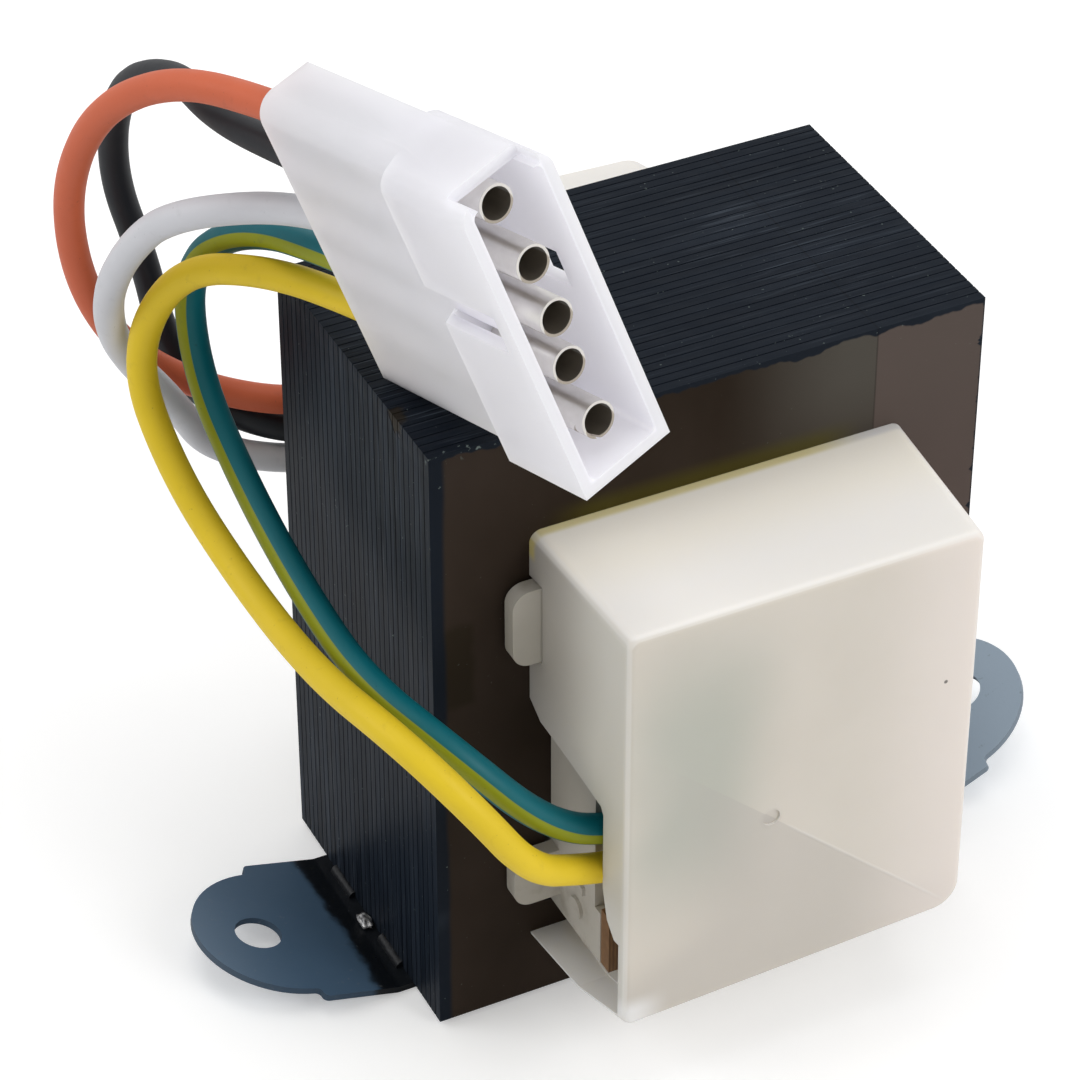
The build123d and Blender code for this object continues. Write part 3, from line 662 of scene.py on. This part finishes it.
# painted shade: greyer and darker than the covers' nylon
spool_tone = spool.mix(spool.noise(120, 3), (0.40, 0.375, 0.325), (0.52, 0.490, 0.430))
far_out = (spool.axis("Z") - CORE_MIDDLE).size().ramp(0.0120, 0.0180)
stain = far_out * spool.noise(450, 4).ramp(0.45, 0.7)
spool_tone = spool.mix(stain * 0.35, spool_tone, (0.20, 0.16, 0.10))
spool.feed("Base Color", spool_tone)
spool.feed("Roughness", 0.42 + spool.noise(500) * 0.12)
spool.bump(spool.noise(600, 3), 0.04 * MM, 0.5)
coat(spool, "bobbin")

# %% [markdown]
# ## Connector
#
# Moulded nylon has no sharp edge, so the housing's solid is copied, its flat faces are joined
# up, and its edges are rounded by a fifth of a millimetre. The solid could be rounded itself,
# but a Bevel modifier does it with normals that keep the flat faces flat.


# %% Round the housing's edges
def softened(name, width):
    """A copy of a solid with its edges rounded, in the same place."""
    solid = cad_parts[name]
    form = bmesh.new()
    form.from_mesh(solid.data)
    bmesh.ops.remove_doubles(form, verts=form.verts, dist=1e-6)
    flat_enough = math.radians(1.5)
    bmesh.ops.dissolve_limit(form, angle_limit=flat_enough, verts=form.verts, edges=form.edges)
    mesh = bpy.data.meshes.new(name + "_soft")
    form.to_mesh(mesh)
    form.free()
    soft = bpy.data.objects.new(name + "_soft", mesh)
    soft.matrix_world = solid.matrix_world
    bpy.context.scene.collection.objects.link(soft)
    rounding = soft.modifiers.new("rounding", "BEVEL")
    rounding.width = width * MM
    rounding.segments = 3
    rounding.limit_method = "ANGLE"
    rounding.angle_limit = math.radians(35)
    rounding.harden_normals = True
    mesh.polygons.foreach_set("use_smooth", [True] * len(mesh.polygons))
    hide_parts(name)
    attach(soft, "root")
    print(soft.name, len(mesh.polygons), "faces")
    return soft


housing_shell = softened("connector_housing", 0.22)

# %% [markdown]
# ## What each lead is
# A lead is a real length of a limp cord that carries a contact, and all five share one housing.
# The frame is told so here,
# lead by lead, and the first of them also carries the housing that all five share.

print("cords declared:", len(leads))

# %% [markdown]
# ## Housing nylon
#
# The housing is a cleaner, whiter nylon than the covers, and light comes through all its walls.
# Subsurface scattering lets it in, a faint glow in the cavity stands for the light that reaches it
# through the far wall, and the whole shell has a fainter painted glow. The bottom of the body,
# back from the mouth, is painted darker as shade. The wire end is warmer, where the leads show
# through. Its patterns are measured along the row of contacts and along their reach, not along the
# world's axes, because the connector lies askew.

# %% Housing nylon
ROW = (0.3137, -0.1301, -0.9406)
REACH = (0.1917, -0.9615, 0.1970)
WIDTH = tuple(Vector(ROW).cross(Vector(REACH)))
MOUTH = (-19.97, -28.51, 80.16)
housing = Finish(
    "housing_nylon",
    subsurface_weight=0.8,
    subsurface_scale=0.005,
    subsurface_radius=(1.0, 1.0, 1.0),
    specular_ior_level=0.25,
    emission_strength=0.16,
)
depth = housing.along(REACH, MOUTH) * -1
down = housing.along(ROW, MOUTH)
mottle = housing.noise(90, 3)
nylon = housing.mix(mottle, (0.800, 0.790, 0.860), (0.850, 0.840, 0.920))
# painted shade on the bottom of the body, back from the mouth
lower = down.ramp(-3, 13) * depth.ramp(9, 14)
nylon = housing.mix(lower * 0.7, nylon, (0.600, 0.590, 0.585))
see_wires = depth.ramp(16, 27) * (0.35 + mottle * 0.5)
nylon = housing.mix(see_wires * 0.35, nylon, (0.78, 0.68, 0.65))
housing.feed("Base Color", nylon)
between_walls = housing.along(WIDTH, MOUTH).size().ramp(3.6, 3.1) * down.size().ramp(13.0, 12.5)
cavity = depth.ramp(11, 8) * between_walls
# painted glow: bright in the cavity, faint over the whole shell
housing.feed("Emission Color", housing.mix(cavity, (0.10, 0.10, 0.12), (1.0, 0.98, 1.10)))
housing.feed("Roughness", 0.38 + housing.noise(450) * 0.14)
housing.bump(housing.noise(300, 1), 0.03 * MM, 0.5)
coat(housing, housing_shell)

# %% [markdown]
# ## Contacts
#
# Each contact is tin-plated strip rolled into a tube: bright outside, a little wavy where the
# press formed it, with dull cut edges and a brownish inside. The tubes stand at an even pitch,
# so the distance from the nearest tube's axis tells the inside of all five from the outside.

# %% Tin
PITCH, BORE = 5.08, 1.34
tin = Finish("contact_tin", metallic=0.85)
plating = tin.mix(tin.noise(700, 3), (0.70, 0.68, 0.64), (0.88, 0.86, 0.82))
cut = tin.dot(tin.node("NewGeometry", out="Normal"), REACH)
across = tin.along(ROW, MOUTH)
aside = tin.along(WIDTH, MOUTH)
from_pitch = across - tin.node("Math", {0: across / PITCH}, operation="ROUND") * PITCH
off_axis = tin.node("Math", {0: from_pitch * from_pitch + aside * aside}, operation="SQRT")
inside = off_axis.ramp(BORE + 0.08, BORE)
plating = tin.mix(cut.ramp(0.6, 0.9) * 0.4, plating, (0.60, 0.57, 0.52))
tin.feed("Base Color", tin.mix(inside * 0.85, plating, (0.34, 0.29, 0.23)))
tin.feed("Roughness", 0.24 + tin.noise(900) * 0.18)
tin.bump(tin.noise(650, 2), 0.04 * MM, 0.5)
coat(tin, *[f"contact_{number}" for number in range(1, 6)])

# %% [markdown]
# ## Inside the covers
#
# Little of this shows, but the gap beside the front cover lets one look in: a brown board, its
# tinned pins and blobs of solder. The laminate's weave is a wave texture broken by noise.

# %% Board and solder
board = Finish("brown_board")
weave = board.node("TexWave", {"Vector": board.place, "Scale": 900, "Distortion": 1.5}, out=1)
fibres = weave * board.noise(500)
board.feed("Base Color", board.mix(fibres, (0.12, 0.055, 0.018), (0.30, 0.16, 0.06)))
board.feed("Roughness", 0.45 + board.noise(800) * 0.2)
coat(board, "front_terminal_board", "rear_terminal_board")
solder = Finish("solder", metallic=0.95)
solder.feed("Base Color", solder.mix(solder.noise(900), (0.40, 0.40, 0.39), (0.78, 0.78, 0.76)))
solder.feed("Roughness", 0.18 + solder.noise(700) * 0.25)
solder.bump(solder.noise(900, 2), 0.05 * MM, 0.6)
coat(solder, "front_solder", "rear_solder", "front_terminal_pins", "rear_terminal_pins")

# %% [markdown]
# ## Windings
#
# Yellow polyester tape goes round the copper. Both are hidden by the covers, and are finished
# for whoever takes a cover off. The turns are too fine to lay one by one, so a wave texture
# stands for them.

# %% Tape and copper
tape = Finish("yellow_tape", specular_ior_level=0.6)
tape.feed("Base Color", tape.mix(tape.noise(200), (0.72, 0.50, 0.03), (0.84, 0.66, 0.10)))
tape.feed("Roughness", 0.22 + tape.noise(300) * 0.15)
coat(tape, "primary_tape", "secondary_tape")
copper = Finish("copper_turns", metallic=0.7)
turns = copper.node("TexWave", {"Vector": copper.place, "Scale": 700, "Distortion": 0.2}, out=1)
copper.feed("Base Color", copper.mix(turns, (0.25, 0.07, 0.02), (0.72, 0.30, 0.12)))
copper.feed("Roughness", 0.3 + copper.noise(600) * 0.1)
coat(copper, "primary_winding", "secondary_winding")

# %% [markdown]
# ## Table and light
#
# The table is one broad pale sheet. It glows a little for the camera's own rays, which brings
# it up to the white of the photograph, while it still takes the soft shadow of the part.

# %% Table
bpy.ops.mesh.primitive_plane_add(size=6, location=(0, 0, 0))
table = bpy.context.object
table.name = "table"
sheet = Finish("pale_table", roughness=0.7, emission_strength=0.30)
seen_directly = sheet.node("LightPath", out="Is Camera Ray")
sheet.feed("Emission Color", sheet.mix(seen_directly, (0, 0, 0), (1, 1, 1)))
sheet.feed("Base Color", sheet.mix(sheet.noise(40, 0), (0.84, 0.84, 0.84), (0.86, 0.86, 0.86)))
table.data.materials.append(sheet.material)
print("table", table.dimensions.x, "m wide")

# %% [markdown]
# ## Lamps
#
# Three broad lamps give the even light of a small product tent: the strongest in front at the
# right, where the covers are brightest, one behind at the left, and one overhead.


# %% Lamps
def softbox(name, place, size, watts, aim=(0, 0, 0.035)):
    lamp = bpy.data.lights.new(name, "AREA")
    lamp.shape = "SQUARE"
    lamp.size = size
    lamp.energy = watts
    holder = bpy.data.objects.new(name, lamp)
    holder.location = place
    holder.rotation_euler = (Vector(aim) - Vector(place)).to_track_quat("-Z", "Y").to_euler()
    bpy.context.scene.collection.objects.link(holder)


softbox("right_front", (0.45, -0.75, 0.55), 0.5, 3.6)
softbox("left_back", (-0.75, 0.30, 0.60), 0.5, 2.2)
softbox("overhead", (0.05, 0.10, 0.95), 0.7, 2.6)
print("lamps:", len(bpy.data.lights))

# %% [markdown]
# ## Sky
#
# The sky lights the part softly at half strength. Rays from the camera, and rays that are
# mirrored or pass through, see it as plain white, as they would the walls of the tent.

# %% Sky
WHITE = (1, 1, 1, 1)
sky = bpy.data.worlds.new("tent")
sky.use_nodes = True
bpy.context.scene.world = sky
air = sky.node_tree
background = air.nodes["Background"]
background.inputs["Color"].default_value = WHITE
background.inputs["Strength"].default_value = 0.50
seen = air.nodes.new("ShaderNodeLightPath")
white = air.nodes.new("ShaderNodeBackground")
white.inputs["Color"].default_value = WHITE
white.inputs["Strength"].default_value = 1.0
choice = air.nodes.new("ShaderNodeMixShader")
rays = seen.outputs["Is Camera Ray"]
for kind in ("Is Glossy Ray", "Is Transmission Ray"):
    either = air.nodes.new("ShaderNodeMath")
    either.operation = "MAXIMUM"
    air.links.new(rays, either.inputs[0])
    air.links.new(seen.outputs[kind], either.inputs[1])
    rays = either.outputs[0]
air.links.new(rays, choice.inputs[0])
air.links.new(background.outputs[0], choice.inputs[1])
air.links.new(white.outputs[0], choice.inputs[2])
air.links.new(choice.outputs[0], air.nodes["World Output"].inputs["Surface"])
bpy.context.scene.view_settings.view_transform = "Standard"
print("sky:", sky.name)

# %% [markdown]
# ## Last update
#
# The finished part may not be bigger than its solids.

bpy.context.view_layer.update()
